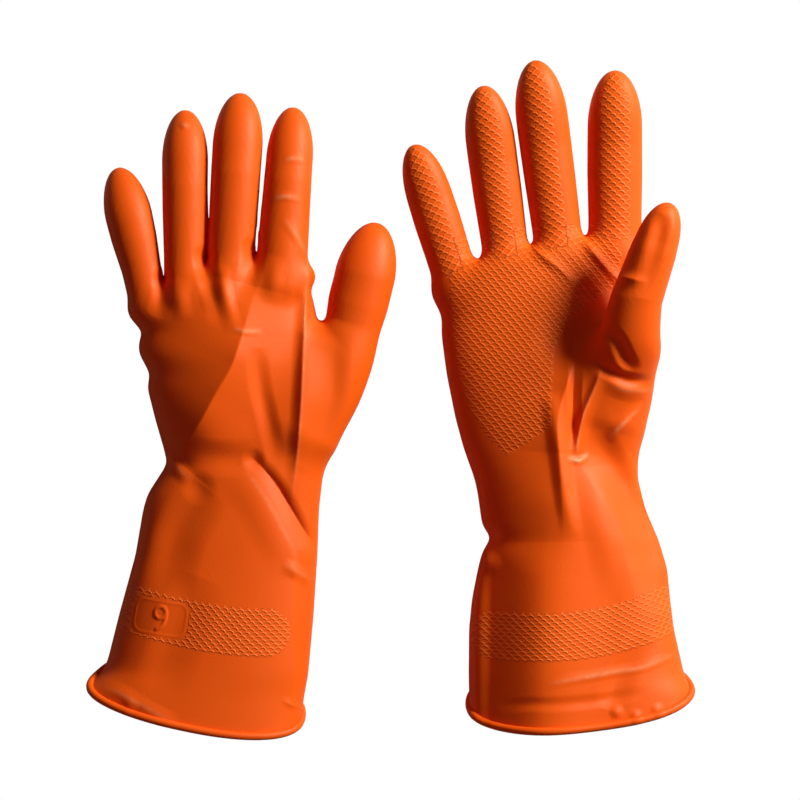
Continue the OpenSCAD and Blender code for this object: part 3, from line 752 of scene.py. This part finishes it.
def make_glove(side, rubber):
    """Makes all of a glove's skins. Returns the raised number's places in metres, or None."""
    field, low = glove_grid(side)
    coarse, quads = quads_of(field, low)
    coarse = relax(coarse, quads)
    fine, fine_quads, pairs = refine(coarse, quads)
    fine = push(fine, side)
    unfolded = fine[:len(coarse)].copy()
    normals = normals_of(fine, fine_quads)
    upward = facing_up(normals[:, 2])
    rise, wear = rise_of(fine[:, :2], side)
    fine[:, 2] += rise * upward
    window, marked = None, None
    if side == "left":
        tree = BVHTree.FromPolygons(fine[:len(coarse)].tolist(), quads.tolist())
        window = np.array(place_on(tree, "size_number"))[:2]
        marks, number = marks_of(fine[:, :2], window)
        fine[:, 2] += marks * upward
        marked = fine[(number * upward) > 0.5] * MM
    net = net_of(fine, normals, side, window)
    normals = normals_of(fine, fine_quads)
    # the refined surface's own corner points replace the coarse ones, so both layers match
    coarse = fine[:len(coarse)]
    values = {"scuff": wear * upward, "net_across": net[0], "net_along": net[1], "net_there": net[2]}
    zone = zones(coarse[quads].mean(axis=1), unfolded[quads].mean(axis=1), side)
    names = ["gauntlet", "hand"] + [f"{f}_{part}" for f in FINGERS for part in ("base", "tip")]
    for its_zone, name in enumerate(names, 1):
        faces_in = np.flatnonzero(zone == its_zone)
        shell = skin(faces_in, coarse, quads, fine, fine_quads, normals, pairs, values)
        piece = shell_object(f"{side}_{name}_skin", *shell)
        piece.data.materials.append(rubber)
        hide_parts(f"{side}_{name}")
        attach(piece, side, name)
    return marked


def attach(piece, side, name):
    """Attaches the hand's skin to the hand's body. For the other skins it works out where they would turn
    over the flexing line before them, but only fixes them in place.
    """
    if name == "hand":
        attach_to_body(piece, f"{side}_hand")
    elif name == "gauntlet":
        fold = joint(side, "wrist_fold")
        start, end = fold.copy(), fold.copy()
        start[1] -= WRIST_BLEND
        end[1] += WRIST_BLEND
        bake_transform(piece)
    else:
        finger, part = name.split("_")
        way = np.append(ahead(DIGITS[side][finger][3]), 0)
        if part == "base":
            place = joint(side, f"{finger}_root_bend")
            before, after = ROOT_BLEND
        else:
            place = joint(side, f"{finger}_tip_bend")
            before, after = -KNEE_BLEND, KNEE_BLEND
        start, end = (place + way * before) * MM, (place + way * after) * MM
        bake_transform(piece)


def make_bead(side, rubber):
    """The bead rolled at the rim, swept round the gauntlet's section there."""
    x, y, way, lean = rim_plane(side)
    arm = ARMS[side]
    angle = np.linspace(0, 2 * math.pi, BEAD_TURNS, endpoint=False)
    u = np.sign(np.cos(angle)) * np.abs(np.cos(angle)) ** (2 / SECTION_POWER)
    v = np.sign(np.sin(angle)) * np.abs(np.sin(angle)) ** (2 / SECTION_POWER)
    centre = np.zeros((BEAD_TURNS, 3))
    centre[:, 1] = y
    for _ in range(BEAD_ROUNDS):
        left, right = table(arm["left_edge"], centre[:, 1]), table(arm["right_edge"], centre[:, 1])
        high = table(arm["height"], centre[:, 1]) / 2
        centre[:, 0] = (left + right) / 2 + u * (right - left) / 2
        centre[:, 2] = high - SUNK + v * high
        centre[:, 1] = y - ((centre[:, 0] - x) * way[0] + (centre[:, 2] - RIM_HIGH) * lean) / way[1]
    centre[:, 2] += rise_of(centre[:, :2], side)[0] * facing_up(np.sin(angle))
    centre[:, 2] = np.maximum(centre[:, 2], BEAD_RADIUS)
    back = np.array([way[0], way[1], lean])
    back /= -np.linalg.norm(back)
    tangent = np.roll(centre, -1, axis=0) - np.roll(centre, 1, axis=0)
    tangent /= np.linalg.norm(tangent, axis=1)[:, None]
    out = np.cross(tangent, back)
    out /= np.linalg.norm(out, axis=1)[:, None]
    behind = np.cross(out, tangent)
    roll = np.linspace(0, 2 * math.pi, BEAD_SIDES, endpoint=False)[None, :, None]
    ring = np.cos(roll) * out[:, None] + np.sin(roll) * behind[:, None]
    points = (centre[:, None] + BEAD_RADIUS * ring).reshape(-1, 3)
    i, k = np.meshgrid(np.arange(BEAD_TURNS), np.arange(BEAD_SIDES), indexing="ij")
    i, k = i.ravel() * BEAD_SIDES, k.ravel()
    i2, k2 = (i + BEAD_SIDES) % len(points), (k + 1) % BEAD_SIDES
    faces = np.stack([i + k, i2 + k, i2 + k2, i + k2], axis=1)
    bead = new_object(f"{side}_rim_bead", points, faces.ravel(), np.arange(0, faces.size, 4),
                      {"scuff": np.zeros(len(points))})
    bead.data.materials.append(rubber)
    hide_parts(f"{side}_cuff_bead")
    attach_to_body(bead, f"{side}_gauntlet")


# ---- materials, light and camera

LATEX = (0.92, 0.078, 0.003)
LATEX_DEEP = (0.86, 0.064, 0.002)
# painted highlight: the lighter colour that the net's ridges are mixed towards, as where they catch the light
NET_PAINTED_HIGHLIGHT = (0.95, 0.17, 0.03)
WEAR_WHITE = (0.95, 0.62, 0.42)
# painted shade: the colour the camera sees on the floor in the narrow slits between fingers
SLIT_PAINTED_SHADE = (0.06, 0.012, 0.004)
GROUND = (0.55, 0.54, 0.53, 1)
SLIT_SHADE_REACH = 0.012  # m
NET_RISE = 0.32
GRAIN_RISE = 0.05
RIDGE_HALF = 0.15  # half a net ridge's width, as a share of its cell
LATEX_ROUGHNESS = 0.5
LATEX_SPECULAR = 0.16


class Graph:
    """Short calls for building the nodes of a material or of the world."""

    def __init__(self, material):
        material.use_nodes = True
        self.nodes, self.links = material.node_tree.nodes, material.node_tree.links

    def add(self, kind, **settings):
        node = self.nodes.new(kind)
        for key, value in settings.items():
            setattr(node, key, value)
        return node

    def math(self, operation, *values):
        node = self.add("ShaderNodeMath", operation=operation)
        for socket, value in zip(node.inputs, values):
            self.feed(socket, value)
        return node.outputs[0]

    def feed(self, socket, value):
        if hasattr(value, "is_output"):
            self.links.new(value, socket)
        else:
            socket.default_value = value

    def value_of(self, name):
        return self.add("ShaderNodeAttribute", attribute_name=name).outputs["Fac"]

    def noise(self, scale, detail=2.0):
        node = self.add("ShaderNodeTexNoise")
        self.links.new(self.add("ShaderNodeTexCoord").outputs["Object"], node.inputs["Vector"])
        node.inputs["Scale"].default_value = scale
        node.inputs["Detail"].default_value = detail
        return node.outputs["Fac"]

    def mix(self, share, first, second):
        node = self.add("ShaderNodeMix", data_type="RGBA")
        colours = [socket for socket in node.inputs if socket.type == "RGBA"]
        self.feed(node.inputs[0], share)
        for socket, colour in zip(colours, (first, second)):
            self.feed(socket, (*colour, 1) if isinstance(colour, tuple) else colour)
        return [socket for socket in node.outputs if socket.type == "RGBA"][0]

    def split(self, to_light, to_camera, output):
        """Let the camera see one shader and everything else be lit by another."""
        mix = self.add("ShaderNodeMixShader")
        self.links.new(self.add("ShaderNodeLightPath").outputs["Is Camera Ray"], mix.inputs["Fac"])
        self.links.new(to_light, mix.inputs[1])
        self.links.new(to_camera, mix.inputs[2])
        self.links.new(mix.outputs["Shader"], self.nodes[output].inputs["Surface"])


def scale_ridges(graph):
    """Fish-scale ridges from the cell coordinates: rows of half rings, every second row moved by half."""
    across_cells, along_cells = graph.value_of("net_across"), graph.value_of("net_along")
    rows = []
    for shift in (0.0, 0.5):
        a = graph.math("SUBTRACT", graph.math("FRACT", graph.math("ADD", across_cells, shift + 100.5)), 0.5)
        b = graph.math("FRACT", graph.math("ADD", along_cells, shift + 100.0))
        squared = graph.math("ADD", graph.math("MULTIPLY", a, a), graph.math("MULTIPLY", b, b))
        off = graph.math("ABSOLUTE", graph.math("SUBTRACT", graph.math("SQRT", squared), 0.5))
        near = graph.math("SUBTRACT", 1.0, graph.math("DIVIDE", off, RIDGE_HALF))
        rows.append(graph.math("MAXIMUM", near, 0.0))
    ridge = graph.math("MAXIMUM", *rows)
    return graph.math("MULTIPLY", graph.math("SMOOTH_MIN", ridge, 0.8, 0.3), graph.value_of("net_there"))


def rubber_material():
    material = bpy.data.materials.new("orange_latex")
    graph = Graph(material)
    shader = graph.nodes["Principled BSDF"]
    shader.inputs["Roughness"].default_value = LATEX_ROUGHNESS
    shader.inputs["Specular IOR Level"].default_value = LATEX_SPECULAR
    ridge = scale_ridges(graph)
    base = graph.mix(graph.noise(30), LATEX, LATEX_DEEP)
    # painted highlight: the net's raised ridges are made lighter in colour
    base = graph.mix(graph.math("MULTIPLY", ridge, 0.4), base, NET_PAINTED_HIGHLIGHT)
    powder = graph.math("MULTIPLY", graph.value_of("scuff"), graph.noise(420, 4.0))
    powder = graph.math("MULTIPLY", powder, 0.7)
    base = graph.mix(powder, base, WEAR_WHITE)
    graph.links.new(base, shader.inputs["Base Color"])
    bump = graph.add("ShaderNodeBump")
    bump.inputs["Strength"].default_value = 1.0
    bump.inputs["Distance"].default_value = MM
    grain = graph.math("MULTIPLY", graph.noise(900), GRAIN_RISE)
    graph.links.new(graph.math("ADD", graph.math("MULTIPLY", ridge, NET_RISE), grain), bump.inputs["Height"])
    graph.links.new(bump.outputs["Normal"], shader.inputs["Normal"])
    return material


def make_floor():
    """Plain ground: white to the camera, with shade painted into that white in the narrow slits between two
    fingers, where ambient occlusion finds them.
    """
    bpy.ops.mesh.primitive_plane_add(size=6)
    floor = bpy.context.object
    floor.name = "floor"
    material = bpy.data.materials.new("white_ground")
    graph = Graph(material)
    shader = graph.nodes["Principled BSDF"]
    shader.inputs["Base Color"].default_value = GROUND
    # painted shade: ambient occlusion turns the floor's white glow dark in the narrow slits
    slit = graph.add("ShaderNodeAmbientOcclusion", samples=16)
    slit.inputs["Distance"].default_value = SLIT_SHADE_REACH
    open_sky = graph.add("ShaderNodeMapRange")
    open_sky.inputs["From Min"].default_value = 0.05
    open_sky.inputs["From Max"].default_value = 0.2
    graph.links.new(slit.outputs["AO"], open_sky.inputs["Value"])
    glow = graph.add("ShaderNodeEmission")
    shade = graph.mix(open_sky.outputs["Result"], SLIT_PAINTED_SHADE, (1.0, 1.0, 1.0))
    graph.links.new(shade, glow.inputs["Color"])
    graph.split(shader.outputs["BSDF"], glow.outputs["Emission"], "Material Output")
    floor.data.materials.append(material)


def area_light(name, place, size, power, colour):
    """A round lamp at a place in metres, turned to the frame's origin."""
    data = bpy.data.lights.new(name, "AREA")
    data.shape = "DISK"
    data.size = size
    data.energy = power
    data.color = colour
    lamp = bpy.data.objects.new(name, data)
    lamp.location = place
    lamp.rotation_euler = (-Vector(place)).to_track_quat("-Z", "Y").to_euler()
    bpy.context.scene.collection.objects.link(lamp)


def make_lights():
    area_light("key", (1.06, 0.74, 0.66), 0.45, 32, (1.0, 1.5, 1.15))
    area_light("fill", (-0.6, -0.9, 1.2), 1.2, 0.9, (1.0, 0.55, 0.45))
    world = bpy.data.worlds.new("studio")
    graph = Graph(world)
    sky = graph.nodes["Background"]
    sky.inputs["Color"].default_value = (1.0, 0.6, 0.5, 1)
    sky.inputs["Strength"].default_value = 0.09
    backdrop = graph.add("ShaderNodeBackground")
    backdrop.inputs["Color"].default_value = (0.94, 0.94, 0.94, 1)
    graph.split(sky.outputs["Background"], backdrop.outputs["Background"], "World Output")
    bpy.context.scene.world = world


IMAGE_SIZE = 800
LENS = 150.0
SENSOR = 36.0
MM_PER_PIXEL = 0.46
SEEN_AT = 18.0  # height of the level at which that scale holds

# Places in the photograph: first the object's edges, which with the scale set the camera.
OBJECT_LEFT, OBJECT_RIGHT = 88, 696
OBJECT_TOP, OBJECT_BOTTOM = 61, 740
IMAGE_POINTS = {
    "size_number": (160, 618),
    "left_thumb_end": (372, 224),
    "left_index_end": (292, 107),
    "left_middle_end": (239, 93),
    "left_ring_end": (183, 111),
    "left_little_end": (119, 170),
    "right_thumb_end": (668, 203),
    "right_index_end": (612, 71),
    "right_middle_end": (534, 61),
    "right_ring_end": (482, 86),
    "right_little_end": (416, 146),
}


def make_camera():
    data = bpy.data.cameras.new("camera")
    data.lens, data.sensor_width, data.sensor_fit = LENS, SENSOR, "AUTO"
    camera = bpy.data.objects.new("camera", data)
    distance = IMAGE_SIZE * MM_PER_PIXEL * LENS / SENSOR
    middle = [(CAD_BOX[0][i] + CAD_BOX[1][i]) / 2 for i in (0, 1)]
    right_of_middle = IMAGE_SIZE / 2 - (OBJECT_LEFT + OBJECT_RIGHT) / 2
    above_middle = (OBJECT_TOP + OBJECT_BOTTOM) / 2 - IMAGE_SIZE / 2
    camera.location = (middle[0] + right_of_middle * MM_PER_PIXEL * MM,
                       middle[1] + above_middle * MM_PER_PIXEL * MM,
                       (distance + SEEN_AT) * MM)
    bpy.context.scene.collection.objects.link(camera)
    bpy.context.scene.camera = camera
    bpy.context.view_layer.update()


def place_on(tree, name):
    """Where an image point meets a surface, in mm; a miss takes the place nearest the ray."""
    x, y = IMAGE_POINTS[name]
    camera = bpy.context.scene.camera
    way = Vector((x - IMAGE_SIZE / 2, IMAGE_SIZE / 2 - y, -IMAGE_SIZE * LENS / SENSOR))
    way = (camera.matrix_world.to_3x3() @ way).normalized()
    start = camera.matrix_world.translation / MM
    hit = tree.ray_cast(start, way)[0]
    if hit is None:
        reach = start.z / -way.z
        hit = tree.find_nearest(start + way * reach)[0]
    return hit


def seen_at(points):
    """Image places (x, y) of points in metres."""
    turn = np.array(bpy.context.scene.camera.matrix_world.inverted())
    local = points @ turn[:3, :3].T + turn[:3, 3]
    scale = IMAGE_SIZE * LENS / SENSOR / -local[:, 2]
    return np.stack([IMAGE_SIZE / 2 + local[:, 0] * scale, IMAGE_SIZE / 2 - local[:, 1] * scale], axis=1)


def vertices_of(name):
    """An object's vertices in metres."""
    mesh = bpy.data.objects[name].data
    points = np.empty(len(mesh.vertices) * 3, np.float32)
    mesh.vertices.foreach_get("co", points)
    return points.reshape(-1, 3).astype(float)


def write_points(names, number_places):
    """Works out where in the image the shown pieces, and the piece at each image point, appear; nothing is
    kept or written.
    """
    all_seen = np.concatenate([seen_at(vertices_of(name)) for name in names])
    for name, point in IMAGE_POINTS.items():
        if name == "size_number":
            seen = seen_at(number_places)
        else:
            side, finger, _ = name.split("_")
            seen = seen_at(vertices_of(f"{side}_{finger}_tip_skin"))


make_camera()
make_lights()
make_floor()
latex = rubber_material()
number_places = None
for side_name in ("left", "right"):
    marked = make_glove(side_name, latex)
    if marked is not None:
        number_places = marked
    make_bead(side_name, latex)
bpy.context.scene.view_settings.view_transform = "Standard"

shown = [thing.name for thing in bpy.data.objects if thing.name.endswith(("_skin", "_rim_bead"))]
write_points(shown, number_places)
